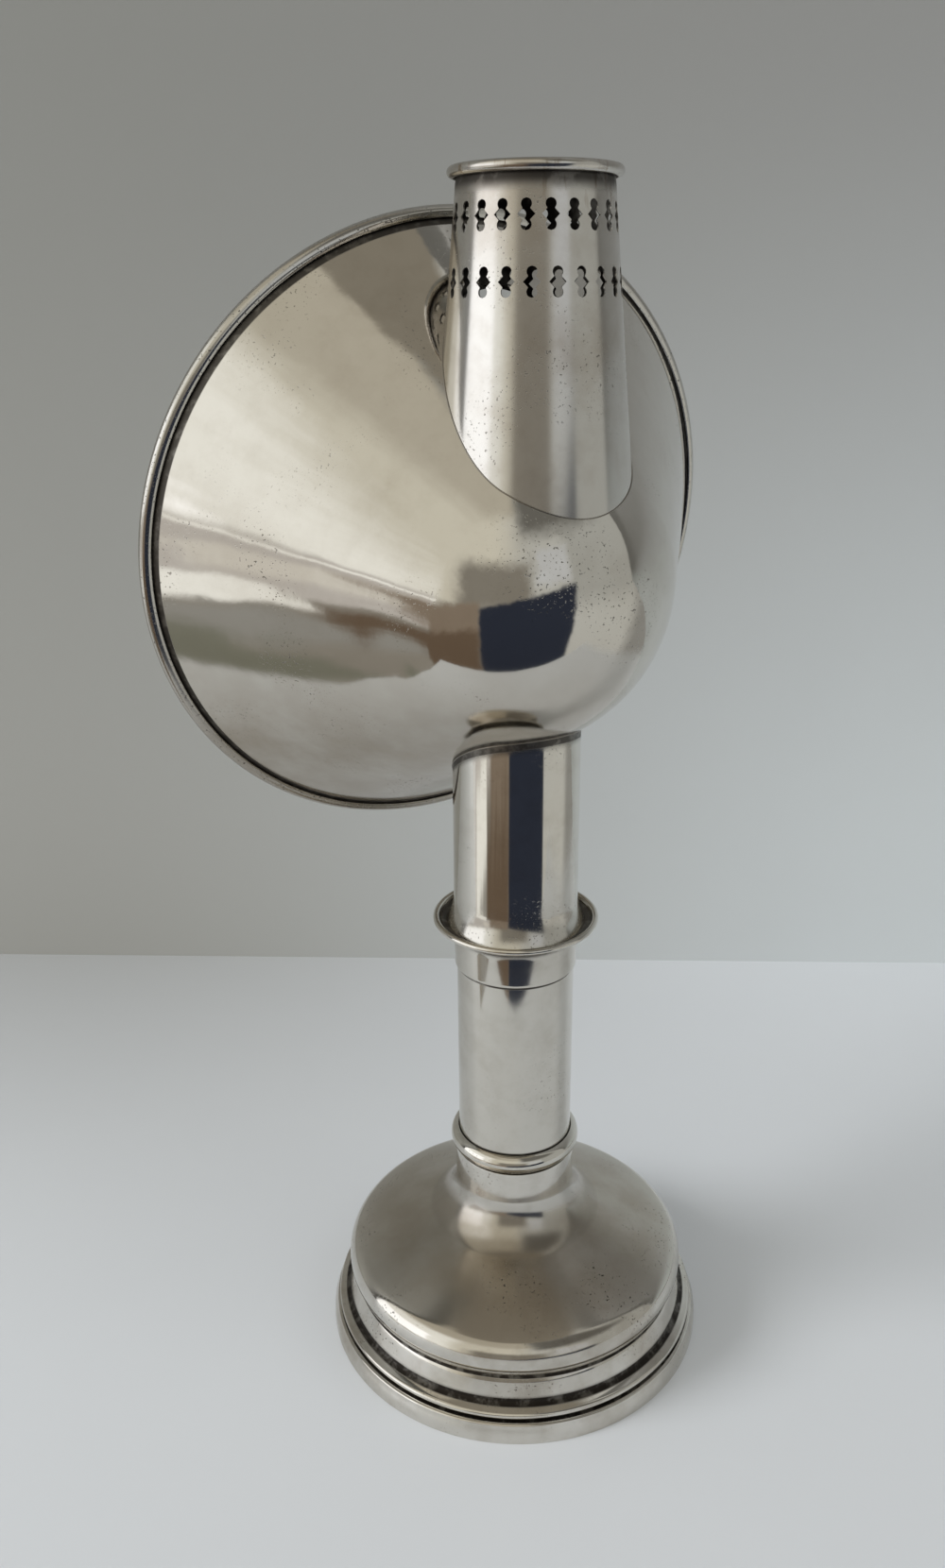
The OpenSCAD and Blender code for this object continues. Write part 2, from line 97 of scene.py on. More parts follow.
def soften(outline, r, least=25):
    """Rounds each corner of a closed outline that turns by more than least degrees."""
    p = np.array(outline, float)
    p = p[np.linalg.norm(p - np.roll(p, 1, 0), axis=1) > 1e-4]
    area = (p[:, 0] * np.roll(p[:, 1], -1) - np.roll(p[:, 0], -1) * p[:, 1]).sum()
    p = p if area > 0 else p[::-1]
    turn = turns(p)
    soft = []
    for i, c in enumerate(p):
        a, b = p[i - 1], p[(i + 1) % len(p)]
        if abs(turn[i]) < math.radians(least) or c[0] < 1e-6:
            soft.append(tuple(c))
            continue
        start = c + (a - c) * min(0.4, r / np.linalg.norm(a - c))
        end = c + (b - c) * min(0.4, r / np.linalg.norm(b - c))
        for t in (0, 0.25, 0.5, 0.75, 1):
            soft.append(tuple((1 - t) ** 2 * start + 2 * t * (1 - t) * c + t * t * end))
    return soft


def hollows(outline, reach=0.9):
    """How hollow (above 0) or proud (below 0) a closed outline is near each of its points."""
    p = np.array(outline, float)
    turn = turns(p)
    s = np.concatenate([[0], np.cumsum(np.linalg.norm(np.diff(p, axis=0), axis=1))])
    whole = s[-1] + np.linalg.norm(p[0] - p[-1])
    gap = np.abs(s[:, None] - s[None, :])
    gap = np.minimum(gap, whole - gap)
    return -(np.exp(-(gap / reach) ** 2) * turn[None, :]).sum(1)


# ---- Meshes ----

def mesh_object(name, verts, faces, place=None, sharp=32, **attributes):
    """A smooth mesh object. The verts are in mm, and place is a matrix whose shift is in mm."""
    mesh = bpy.data.meshes.new(name)
    mesh.from_pydata([tuple(c * MM for c in v) for v in verts], [], faces)
    mesh.validate()
    mesh.shade_smooth()
    mesh.set_sharp_from_angle(angle=math.radians(sharp))
    for key, values in attributes.items():
        mesh.attributes.new(key, "FLOAT", "POINT").data.foreach_set("value", np.array(values, np.float32))
    obj = bpy.data.objects.new(name, mesh)
    bpy.context.scene.collection.objects.link(obj)
    if place is not None:
        obj.matrix_world = Matrix.Translation(place.translation * MM) @ place.to_3x3().to_4x4()
    bpy.context.view_layer.update()
    return obj


def lathe(name, outline, place=None, segments=SEGMENTS, round_r=0.12, sharp=32):
    """Spins a closed outline round Z. A point on the axis becomes one vertex."""
    outline = soften(outline, round_r)
    hollow = hollows(outline)
    verts, rings, crease = [], [], []
    for (r, z), h in zip(outline, hollow):
        count = 1 if r < 1e-6 else segments
        rings.append(range(len(verts), len(verts) + count))
        crease += [h] * count
        angles = [2 * math.pi * j / segments for j in range(count)]
        verts += [(r * math.cos(t), r * math.sin(t), z) for t in angles]
    faces = []
    for a, b in zip(rings, rings[1:] + rings[:1]):
        if len(a) == 1 and len(b) == 1:
            continue
        for j in range(segments):
            k = (j + 1) % segments
            corners = [a[j % len(a)], a[k % len(a)], b[k % len(b)], b[j % len(b)]]
            faces.append(tuple(dict.fromkeys(corners)))
    return mesh_object(name, verts, faces, place, sharp, crease=crease)


def tube(name, points, r, sides=10, closed=False, tips=True):
    """A round wire along the points. It may be a closed loop."""
    p = np.array(points, float)
    ahead = np.roll(p, -1, 0) - np.roll(p, 1, 0)
    if not closed:
        ahead[0], ahead[-1] = p[1] - p[0], p[-1] - p[-2]
    ahead /= np.linalg.norm(ahead, axis=1)[:, None]
    side = np.cross(ahead[0], [0.3, 0.2, 1.0])
    verts = []
    for q, t in zip(p, ahead):
        side = side - t * (side @ t)
        side /= np.linalg.norm(side)
        other = np.cross(t, side)
        for k in range(sides):
            a = 2 * math.pi * k / sides
            verts.append(tuple(q + r * (math.cos(a) * side + math.sin(a) * other)))
    n = len(p)
    faces = []
    for i in range(n if closed else n - 1):
        for k in range(sides):
            j, m = (k + 1) % sides, (i + 1) % n
            faces.append((i * sides + k, i * sides + j, m * sides + j, m * sides + k))
    if not closed and tips:
        faces.append(tuple(range(sides - 1, -1, -1)))
        faces.append(tuple((n - 1) * sides + k for k in range(sides)))
    return mesh_object(name, verts, faces, sharp=50)


def prism(outline, depth, place):
    """Corners and faces of a flat outline pushed from -depth to depth along Z, in its place."""
    n = len(outline)
    verts = [tuple(place @ Vector((x, y, z))) for z in (-depth, depth) for x, y in outline]
    faces = [tuple(range(n - 1, -1, -1)), tuple(range(n, 2 * n))]
    faces += [(i, (i + 1) % n, n + (i + 1) % n, n + i) for i in range(n)]
    return verts, faces


def merged(name, solids):
    """One mesh object of several closed solids that don't touch."""
    verts, faces = [], []
    for v, f in solids:
        faces += [tuple(i + len(verts) for i in face) for face in f]
        verts += v
    return mesh_object(name, verts, faces)


def cut(obj, *cutters):
    """Takes the cutters out of obj, and deletes them."""
    for cutter in cutters:
        modifier = obj.modifiers.new("cut", "BOOLEAN")
        modifier.operation = "DIFFERENCE"
        modifier.solver = "EXACT"
        modifier.object = cutter
        bpy.context.view_layer.update()
        seen = obj.evaluated_get(bpy.context.evaluated_depsgraph_get())
        old = obj.data
        obj.data = bpy.data.meshes.new_from_object(seen)
        obj.modifiers.clear()
        bpy.data.meshes.remove(old)
        bpy.data.objects.remove(cutter)
    return obj


# ---- True surfaces: each gives the distance to it and its normal at an array of points ----

def cylinder_skin(x, y, r, taper=0.0, z0=0.0, side=1):
    """An upright cone round (x, y): its radius is r at z0 and grows by taper for each mm downwards."""
    def skin(p):
        d = p[:, :2] - [x, y]
        rho = np.linalg.norm(d, axis=1)
        tilt = math.cos(math.atan(taper))
        n = np.column_stack([d / rho[:, None] * tilt, np.full(len(p), math.sin(math.atan(taper)))])
        return (rho - r - taper * (z0 - p[:, 2])) * tilt, side * n
    return skin


def ring_skin(centre, axis, ring_r, r):
    """A torus."""
    def skin(p):
        d = p - centre
        h = d @ axis
        flat = d - h[:, None] * axis
        rho = np.linalg.norm(flat, axis=1)
        away = p - (centre + flat / rho[:, None] * ring_r)
        far = np.linalg.norm(away, axis=1)
        return far - r, away / far[:, None]
    return skin


def bowl_skin(shape, grow, side=1):
    """The reflector's cone and nose, grown by grow."""
    def skin(p):
        d, n = shape.distance(p)
        return d - grow, side * n
    return skin


def true_normals(obj, skins, dents=(), near=0.06):
    """Gives each face that lies on a skin the skin's own normals, so that mirrors run smoothly.

    Each dent is a centre, a radius and a depth in mm, and the way in which it pushes the metal.
    """
    mesh = obj.data
    world = np.array(obj.matrix_world)
    turn = world[:3, :3]
    count = len(mesh.vertices)
    co = np.empty(count * 3)
    mesh.vertices.foreach_get("co", co)
    points = (co.reshape(-1, 3) @ turn.T + world[:3, 3]) / MM
    face_n = np.empty(len(mesh.polygons) * 3)
    mesh.polygons.foreach_get("normal", face_n)
    face_n = face_n.reshape(-1, 3) @ turn.T
    centre = np.empty(len(mesh.polygons) * 3)
    mesh.polygons.foreach_get("center", centre)
    centre = (centre.reshape(-1, 3) @ turn.T + world[:3, 3]) / MM
    loop_vert = np.empty(len(mesh.loops), int)
    mesh.loops.foreach_get("vertex_index", loop_vert)
    totals = np.empty(len(mesh.polygons), int)
    mesh.polygons.foreach_get("loop_total", totals)
    loop_face = np.repeat(np.arange(len(totals)), totals)
    normals = face_n[loop_face].copy()
    free = np.ones(len(totals), bool)
    for skin in skins:
        far, n = skin(centre)
        mine = free & (np.abs(far) < near) & ((n * face_n).sum(1) > 0.9)
        free &= ~mine
        loops = mine[loop_face]
        normals[loops] = skin(points[loop_vert[loops]])[1]
    where = points[loop_vert]
    moved = points.copy()
    for c, r, depth, push in dents:
        away = where - c
        slope = (2 * depth / r ** 2) * np.exp(-(away ** 2).sum(1) / r ** 2)[:, None] * away
        normals += (normals @ push)[:, None] * (slope - (slope * normals).sum(1)[:, None] * normals)
        moved += depth * np.exp(-((points - c) ** 2).sum(1) / r ** 2)[:, None] * push
    normals /= np.linalg.norm(normals, axis=1)[:, None]
    mesh.vertices.foreach_set("co", ((moved * MM - world[:3, 3]) @ turn).ravel())
    mesh.shade_smooth()
    mesh.normals_split_custom_set([tuple(n) for n in normals @ turn])


def paint(obj, name, rule):
    """Writes rule(points in mm) to a number on each vertex."""
    mesh = obj.data
    co = np.empty(len(mesh.vertices) * 3)
    mesh.vertices.foreach_get("co", co)
    world = np.array(obj.matrix_world)
    points = (co.reshape(-1, 3) @ world[:3, :3].T + world[:3, 3]) / MM
    old = mesh.attributes.get(name)
    values = np.zeros(len(points), np.float32)
    if old is not None:
        old.data.foreach_get("value", values)
        mesh.attributes.remove(old)
    values = np.maximum(values, rule(points)).astype(np.float32)
    mesh.attributes.new(name, "FLOAT", "POINT").data.foreach_set("value", values)


# ---- Shader nodes ----

class Shader:
    """Short names for the nodes of one material or world."""

    def __init__(self, tree):
        self.tree = tree
        tree.nodes.clear()

    def node(self, kind, inputs=(), **settings):
        made = self.tree.nodes.new(kind)
        for key, value in settings.items():
            setattr(made, key, value)
        for key, value in dict(inputs).items():
            self.feed(made.inputs[key], value)
        return made

    def feed(self, socket, value):
        if isinstance(value, bpy.types.NodeSocket):
            self.tree.links.new(value, socket)
        else:
            socket.default_value = value

    def math(self, operation, *values, clamp=False):
        made = self.tree.nodes.new("ShaderNodeMath")
        made.operation = operation
        made.use_clamp = clamp
        for socket, value in zip(made.inputs, values):
            self.feed(socket, value)
        return made.outputs[0]

    def times(self, *values):
        product = values[0]
        for value in values[1:]:
            product = self.math("MULTIPLY", product, value)
        return product

    def most(self, *values):
        top = values[0]
        for value in values[1:]:
            top = self.math("MAXIMUM", top, value)
        return top

    def mix(self, factor, a, b):
        made = self.node("ShaderNodeMix", data_type="RGBA")
        self.feed(made.inputs[0], factor)
        self.feed(made.inputs[6], a)
        self.feed(made.inputs[7], b)
        return made.outputs[2]

    def noise(self, coords, scale, detail=3.0, roughness=0.55):
        inputs = {"Vector": coords, "Scale": scale, "Detail": detail, "Roughness": roughness}
        return self.node("ShaderNodeTexNoise", inputs).outputs[0]

    def step(self, value, low, high, start=0.0, end=1.0):
        """Runs smoothly from start to end as value goes from low to high."""
        inputs = {"Value": value, "From Min": low, "From Max": high, "To Min": start, "To Max": end}
        return self.node("ShaderNodeMapRange", inputs, interpolation_type="SMOOTHSTEP").outputs[0]

    def between(self, value, low, high, soft):
        """1 where value lies from low to high, with soft edges."""
        return self.times(self.step(value, low - soft, low + soft),
                          self.step(value, high - soft, high + soft, 1.0, 0.0))

    def bump(self, height, depth, normal=None):
        """Raises the surface by height times depth in mm."""
        made = self.node("ShaderNodeBump", {"Height": height, "Distance": depth * MM})
        made.inputs["Strength"].default_value = 1.0
        if normal is not None:
            self.feed(made.inputs["Normal"], normal)
        return made.outputs[0]

    def coords(self, output="Object"):
        return self.node("ShaderNodeTexCoord").outputs[output]

    def stretched(self, coords, scale, turn=(0, 0, 0)):
        inputs = {"Vector": coords, "Scale": scale, "Rotation": turn}
        return self.node("ShaderNodeMapping", inputs).outputs[0]


def material(name):
    made = bpy.data.materials.new(name)
    made.use_nodes = True
    return made, Shader(made.node_tree)


def colour(r, g, b):
    return (r, g, b, 1.0)


# Near black for pits, and for dirty hollows and joints painted dark as shade.
BLACK_DIRT_AND_SHADE = colour(0.035, 0.03, 0.026)
SOOT = colour(0.014, 0.012, 0.011)


def nickel(name, clean=(0.69, 0.665, 0.615), stain=(0.36, 0.31, 0.245), stained=0.45,
           rough=0.07, dull=0.12, wave=0.05, pits=0.6, dirt_and_shade=0.9, drips=None):
    """Old nickel plate: stains, pits, dirty hollows with painted shade, soot and slightly wavy metal.

    drips gives the heights in mm between which stains run down.
    """
    made, s = material(name)
    where = s.coords()
    cloud = s.step(s.noise(where, 28, 5, 0.62), 0.46, 0.72)
    fine = s.step(s.noise(where, 160, 4, 0.6), 0.42, 0.75)
    tarnish = s.times(s.math("ADD", s.times(cloud, 0.7), s.times(fine, 0.3)), stained)
    height = s.node("ShaderNodeSeparateXYZ", {"Vector": where}).outputs["Z"]
    if drips:
        run = s.step(s.noise(s.stretched(where, (1, 1, 0.12)), 520, 3, 0.6), 0.5, 0.72)
        tarnish = s.most(tarnish, s.times(run, s.step(height, drips[0] * MM, drips[1] * MM)))
    # The haze attribute adds dull tarnish; on the bowl it is also painted shade, darker towards the bottom.
    haze = s.node("ShaderNodeAttribute", attribute_name="haze").outputs["Fac"]
    tarnish = s.most(tarnish, s.times(haze, s.step(s.noise(where, 60, 4, 0.6), 0.2, 0.7, 0.6, 1.0)))
    wear = s.node("ShaderNodeAttribute", attribute_name="wear").outputs["Fac"]
    patch = s.most(s.step(s.noise(where, 42, 2, 0.5), 0.48, 0.66), wear)
    speck = s.times(s.step(s.noise(where, 1500, 2, 0.5), 0.63, 0.70), patch, pits)
    # Hollows, grooves and joints go towards black: partly dirty metal, partly painted shade.
    hollow = s.node("ShaderNodeAttribute", attribute_name="crease").outputs["Fac"]
    worn = s.step(s.noise(where, 260, 3, 0.6), 0.30, 0.58)
    grime_and_shade = s.times(s.step(hollow, 0.05, 0.32), s.step(worn, 0.0, 1.0, 0.82, 1.0), dirt_and_shade)
    soot = s.node("ShaderNodeAttribute", attribute_name="soot").outputs["Fac"]
    soot = s.times(soot, s.step(s.noise(where, 90, 4, 0.6), 0.2, 0.55, 0.6, 1.0))
    tint = s.mix(tarnish, colour(*clean), colour(*stain))
    tint = s.mix(s.times(wear, 0.35), tint, colour(0.33, 0.32, 0.30))
    tint = s.mix(speck, tint, BLACK_DIRT_AND_SHADE)
    tint = s.mix(grime_and_shade, tint, BLACK_DIRT_AND_SHADE)
    tint = s.mix(soot, tint, SOOT)
    gloss = s.math("ADD", rough, s.times(tarnish, dull))
    gloss = s.math("ADD", gloss, s.times(s.most(speck, grime_and_shade), 0.4))
    gloss = s.math("ADD", gloss, s.times(wear, 0.12))
    gloss = s.math("ADD", gloss, s.times(soot, 0.6), clamp=True)
    bump = s.bump(s.noise(where, 34, 2, 0.45), wave)
    bump = s.bump(s.noise(where, 85, 2, 0.5), wave * 0.18, bump)
    bump = s.bump(s.noise(where, 190, 3, 0.5), wave * 0.06, bump)
    bump = s.bump(s.math("SUBTRACT", 1.0, speck), 0.02, bump)
    shader = s.node("ShaderNodeBsdfPrincipled",
                    {"Base Color": tint, "Roughness": gloss, "Normal": bump, "Metallic": 1.0})
    out = s.node("ShaderNodeOutputMaterial")
    s.feed(out.inputs["Surface"], shader.outputs[0])
    return made


def plain(name, low, high, rough, metallic=0.0, grain=120, depth=0.05, **sockets):
    """A mottled material between two colours, with a fine grain."""
    made, s = material(name)
    where = s.coords()
    tint = s.mix(s.step(s.noise(where, grain * 0.3, 5, 0.6), 0.3, 0.7), colour(*low), colour(*high))
    gloss = s.step(s.noise(where, grain, 4, 0.6), 0.3, 0.75, rough * 0.8, min(1.0, rough * 1.25))
    bump = s.bump(s.noise(where, grain * 3, 4, 0.6), depth)
    inputs = {"Base Color": tint, "Roughness": gloss, "Normal": bump, "Metallic": metallic}
    inputs.update(sockets)
    shader = s.node("ShaderNodeBsdfPrincipled", inputs)
    out = s.node("ShaderNodeOutputMaterial")
    s.feed(out.inputs["Surface"], shader.outputs[0])
    return made


POLISHED = nickel("polished_nickel", clean=(0.66, 0.635, 0.58), stained=0.6)
FOOT_NICKEL = nickel("foot_nickel", stained=0.75, rough=0.07, dull=0.14, wave=0.09, pits=0.9, dirt_and_shade=1.0)
BOWL_NICKEL = nickel("bowl_nickel", stained=0.3, rough=0.05, dull=0.10, wave=0.19, pits=0.7)
SATIN = nickel("satin_nickel", clean=(0.63, 0.61, 0.57), stain=(0.36, 0.30, 0.235), stained=0.6,
               rough=0.17, dull=0.12, wave=0.03, pits=0.55, drips=(298, 314))
IRON = plain("cast_iron", (0.03, 0.03, 0.032), (0.09, 0.075, 0.065), 0.75, grain=500, depth=0.3)
BRASS = plain("dull_brass", (0.50, 0.37, 0.17), (0.66, 0.52, 0.29), 0.32, metallic=1.0, depth=0.01)
STEEL = plain("drawn_steel", (0.32, 0.32, 0.33), (0.52, 0.52, 0.53), 0.30, metallic=1.0, depth=0.01)
WAX = plain("candle_wax", (0.82, 0.76, 0.62), (0.90, 0.86, 0.75), 0.38, grain=90, depth=0.05,
            **{"Subsurface Weight": 0.35, "Subsurface Radius": (0.004, 0.0025, 0.0015),
               "Subsurface Scale": 1.0})
WICK = plain("charred_wick", (0.02, 0.018, 0.016), (0.16, 0.13, 0.10), 0.95, grain=1400, depth=0.15)
# Dark soldered seams; their darkness also stands in as painted shade in the joints.
SOLDER_AND_SHADE = nickel("solder_and_shade", clean=(0.30, 0.28, 0.25), stained=0.9, rough=0.3, pits=1.0)


def dress(obj, surface, body, slot, *nodes):
    """Gives a piece its material and body, and says which CAD nodes it stands for. The slot is not used."""
    obj.data.materials.clear()
    obj.data.materials.append(surface)
    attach(obj, body)
    if nodes:
        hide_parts(*nodes)
    return obj


# ---- Sizes of the lamp, as in the CAD frame ----

STEM_R = 16.1
STEM_TOP = 126.5
STEM_BOTTOM = 12.0
STEM_WALL = 0.6
FOOT_R = 55.0
BAND_H = 5.4
FOOT_WALL = 0.8
NECK_BORE_R = STEM_R + 0.2
NECK_R = NECK_BORE_R + FOOT_WALL
NECK_Z = 58.4
NECK_BEAD_R = 3.1
TUBE_R = 15.2
TUBE_WALL = 0.5
TUBE_BOTTOM, TUBE_TOP = 14.0, 197.0
LEDGE_Z = STEM_TOP + 0.6
FERRULE_BORE_R = STEM_R + 0.08
FERRULE_R = FERRULE_BORE_R + 0.55
FERRULE_BOTTOM = STEM_TOP - 8.4
LIP_RING_R = FERRULE_R + 4.9
LIP_R = 0.87
LIP_Z = LEDGE_Z + 4.4
CAP_R = TUBE_R + 0.6
CAP_TOP = TUBE_TOP + 1.6
CAP_SKIRT = 11.0
CAP_HOLE_R = 10.0
PIN_Z = TUBE_TOP - 6
SLEEVE_R = CAP_R + 1.0
SLEEVE_WALL = 0.5
SLEEVE_TAPER = 0.3
FLARE_H, FLARE_OUT = 8.3, 2.5
AXIS_Z, AXIS_TILT = 221.9, math.radians(8.9)
RIM_R, RIM_AHEAD, BEAD_R = 81.2, 40.0, 1.9
NOSE_R, CONE_ANGLE = 44.0, math.radians(38.5)
BOWL_WALL = 0.6
CHIMNEY_Y = 7.0
CHIMNEY_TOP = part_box("chimney")[1].z / MM
CHIMNEY_TOP_R, CHIMNEY_TAPER = 17.35, 0.091
CHIMNEY_WALL, CHIMNEY_LIP_R = 0.5, 1.25
CHIMNEY_LIP_Z = CHIMNEY_TOP - CHIMNEY_LIP_R
CHIMNEY_LIP_RING = CHIMNEY_TOP_R - CHIMNEY_WALL + 0.05 + CHIMNEY_LIP_R
HOLES = 22
HOLE_ROWS = ((CHIMNEY_TOP - 10.6, 3.7), (CHIMNEY_TOP - 23.7, 7.9))   # height and turn of each row
CANDLE_R = 14.0
CANDLE_TOP = TUBE_TOP + 0.8
CANDLE_BOTTOM = CANDLE_TOP - 120


class Bowl:
    """The reflector's outer surface: a cone that runs into a round nose."""

    axis = np.array([0, -math.cos(AXIS_TILT), math.sin(AXIS_TILT)])
    origin = np.array([0, 0, AXIS_Z])
    nose_at = RIM_AHEAD - (RIM_R - NOSE_R / math.cos(CONE_ANGLE)) / math.tan(CONE_ANGLE)
    apex_at = nose_at - NOSE_R / math.sin(CONE_ANGLE)

    def distance(self, points):
        """Signed distance to the surface and its normal, at an array of points in mm."""
        d = points - self.origin
        h = d @ self.axis
        flat = d - h[:, None] * self.axis
        rho = np.linalg.norm(flat, axis=1)
        out = flat / np.maximum(rho, 1e-9)[:, None]
        sin, cos = math.sin(CONE_ANGLE), math.cos(CONE_ANGLE)
        cone = rho * cos - (h - self.apex_at) * sin
        cone_n = out * cos - self.axis * sin
        from_nose = d - self.nose_at * self.axis
        far = np.linalg.norm(from_nose, axis=1)
        round_part = (h - self.nose_at) < -sin * far
        distance = np.where(round_part, far - NOSE_R, cone)
        ball_n = from_nose / np.maximum(far, 1e-9)[:, None]
        return distance, np.where(round_part[:, None], ball_n, cone_n)

    def height_on(self, x, y, low, high, grow=0.0):
        """Height between low and high at which the upright line through (x, y) meets the surface."""
        def gap(z):
            return self.distance(np.array([[x, y, z]]))[0][0] - grow
        sign = 1 if gap(high) > 0 else -1
        for _ in range(40):
            middle = (low + high) / 2
            if gap(middle) * sign > 0:
                high = middle
            else:
                low = middle
        return (low + high) / 2

    def place(self):
        """Matrix, with its shift in mm, that puts Z on the reflector's axis."""
        return Matrix.Translation((0, 0, AXIS_Z)) @ Matrix.Rotation(math.pi / 2 - AXIS_TILT, 4, "X")


BOWL = Bowl()


# ---- Foot ----

def foot_path():
    """Outer side of the foot from the table up to the neck."""
    band_r = FOOT_R - 1.3
    bead = (band_r - 1.5, BAND_H + 2)
    waist_r, waist_z = FOOT_R - 5, BAND_H + 4
    shoulder_r, shoulder_z = FOOT_R - 5.5, 16.4
    dome = 24
    turn = 90 - dome
    path = [(FOOT_R, 0), (FOOT_R - 0.2, BAND_H / 2), (band_r + 0.3, BAND_H - 0.6)]
    path += arc((band_r - 0.3, BAND_H - 0.6), 0.6, 0, 80, 5)
    path += [(bead[0], BAND_H + 0.3)]
    path += arc(bead, 1, -60, 80, 8)
    path += [(waist_r + 0.5, waist_z - 0.1), (waist_r, waist_z + 0.3)]
    path += [(waist_r - 2, shoulder_z - 1), (shoulder_r - 2.3, shoulder_z)]
    path += [(shoulder_r - 1.15, shoulder_z + 1)]
    path += arc((shoulder_r - 6.2, shoulder_z + 5), 6.2, -32, turn, 22)
    neck_arc = 14
    start = path[-1]
    end_r = NECK_R + neck_arc * (1 - math.cos(math.radians(turn)))
    end_z = start[1] + (start[0] - end_r) * math.tan(math.radians(dome))
    neck_centre = (NECK_R + neck_arc, end_z + neck_arc * math.sin(math.radians(turn)))
    path += arc(neck_centre, neck_arc, 180 + turn, 180, 26)
    return path + [(NECK_R, NECK_Z)]


def dirt_and_shade_line(*heights):
    """A rule for paint: a thin dark line at each height, of dirty metal and painted shade."""
    def rule(points):
        return sum(0.8 * np.exp(-((points[:, 2] - z) / 0.45) ** 2) for z in heights)
    return rule


def foot():
    shell_piece = lathe("foot_shell_skin", shell(refine(foot_path(), 1.2), FOOT_WALL))
    paint(shell_piece, "haze", lambda points: 0.85 * np.exp(-((points[:, 2] - 35) / 9) ** 4))
    dress(shell_piece, FOOT_NICKEL, "foot", "nickel", "foot_shell")
    bead_centre = (NECK_R + 1.35 - NECK_BEAD_R, NECK_Z + NECK_BEAD_R)
    start = math.degrees(math.asin((0.05 - NECK_BEAD_R) / NECK_BEAD_R))
    bead = arc(bead_centre, NECK_BEAD_R, start * 0.75, -start * 0.86, 16)
    bead += [(NECK_BORE_R, bead[-1][1]), (NECK_BORE_R, bead[0][1])]
    dress(lathe("neck_bead_ring", bead), POLISHED, "foot", "nickel", "neck_bead")
    bead_top = bead_centre[1] + NECK_BEAD_R * 0.9
    heights = (STEM_BOTTOM, bead_top - 1, bead_top, bead_top + 0.5, bead_top + 1, FERRULE_BOTTOM - 1,
               FERRULE_BOTTOM - 0.5, FERRULE_BOTTOM, FERRULE_BOTTOM + 0.5, STEM_TOP)
    stem = lathe("stem_tube_skin", shell([(STEM_R, z) for z in heights], STEM_WALL))
    # Dark lines of dirty metal and painted shade where the stem goes into the neck bead and the ferrule.
    paint(stem, "crease", dirt_and_shade_line(bead_top, FERRULE_BOTTOM - 0.2))
    dress(stem, POLISHED, "foot", "nickel", "stem_tube")


# ---- Gallery ----

def gallery():
    """Ferrule, flared cup and rolled lip, as one outline."""
    outline = [(FERRULE_BORE_R, FERRULE_BOTTOM)]
    outline += refine([(FERRULE_R, FERRULE_BOTTOM), (FERRULE_R, LEDGE_Z - 0.4)], 0.8)
    outline += arc((FERRULE_R + 4.2, LEDGE_Z), 4.2, 180, 100, 8)[1:]
    outline += arc((LIP_RING_R, LIP_Z), LIP_R, -95, 165, 20)
    outline += [(FERRULE_R + 3.6, LEDGE_Z + 3.3), (FERRULE_R + 1.2, LEDGE_Z + 1.1)]
    outline += [(FERRULE_R, LEDGE_Z + 0.6)]
    outline += [(TUBE_R + 0.3, LEDGE_Z + 0.6), (TUBE_R + 0.3, LEDGE_Z), (FERRULE_BORE_R, LEDGE_Z)]
    dress(lathe("gallery_cup_skin", outline, round_r=0.15), POLISHED, "gallery", "nickel",
          "gallery_cup", "gallery_wire")


# ---- Candle tube, cap and feed ----


def candle_holder():
    wall = shell([(TUBE_R, TUBE_BOTTOM), (TUBE_R, TUBE_TOP)], TUBE_WALL)
    dress(lathe("candle_tube_skin", wall), POLISHED, "candle_holder", "nickel", "candle_tube")
    ring = shell([(STEM_R, STEM_TOP), (STEM_R, STEM_TOP + 0.6)], STEM_R - TUBE_R - 0.03)
    dress(lathe("stop_ring_skin", ring), BRASS, "candle_holder", "brass", "tube_stop_ring")
    low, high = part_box("feed_spring")[0].z / MM + 0.6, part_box("feed_spring")[1].z / MM - 0.6
    count = 12 * 40
    coil = [(11 * math.cos(2 * math.pi * i / 40), 11 * math.sin(2 * math.pi * i / 40),
             low + (high - low) * i / count) for i in range(count + 1)]
    wire = tube("feed_spring_wire", coil, 0.6)
    dress(wire, STEEL, "candle_holder", "steel", "feed_spring")
    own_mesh(wire)


def cap():
    """Bayonet cap: a skirt with two bent slots, and a lip that the candle bears on."""
    lip_z = CANDLE_TOP
    bore = CAP_R - 0.5
    low = CAP_TOP - CAP_SKIRT
    outline = [(bore, low), (CAP_R, low), (CAP_R, CAP_TOP - 0.6), (CAP_R - 0.6, CAP_TOP),
               (CAP_HOLE_R, CAP_TOP), (CAP_HOLE_R, lip_z), (bore, lip_z)]
    piece = lathe("candle_cap_skin", outline, round_r=0.25)
    half = 1.2
    end = math.degrees(math.asin(half / TUBE_R))

    def wedge(a, b, z0, z1):
        flat = [(0.9 * CAP_R * math.cos(math.radians(t)), 0.9 * CAP_R * math.sin(math.radians(t)))
                for t in np.linspace(b, a, 9)]
        flat += [(1.2 * CAP_R * math.cos(math.radians(t)), 1.2 * CAP_R * math.sin(math.radians(t)))
                 for t in np.linspace(a, b, 9)]
        return prism(flat, (z1 - z0) / 2, Matrix.Translation((0, 0, (z0 + z1) / 2)))

    level = [wedge(side - 30 - end, side + end, PIN_Z - half, PIN_Z + half) for side in (0, 180)]
    down = [wedge(side - 30 - end, side - 30 + end, low - 1, PIN_Z) for side in (0, 180)]
    cut(piece, merged("level_cutters", level), merged("down_cutters", down))
    true_normals(piece, [cylinder_skin(0, 0, CAP_R), cylinder_skin(0, 0, bore, side=-1)])
    dress(piece, POLISHED, "cap", "nickel", "candle_cap")


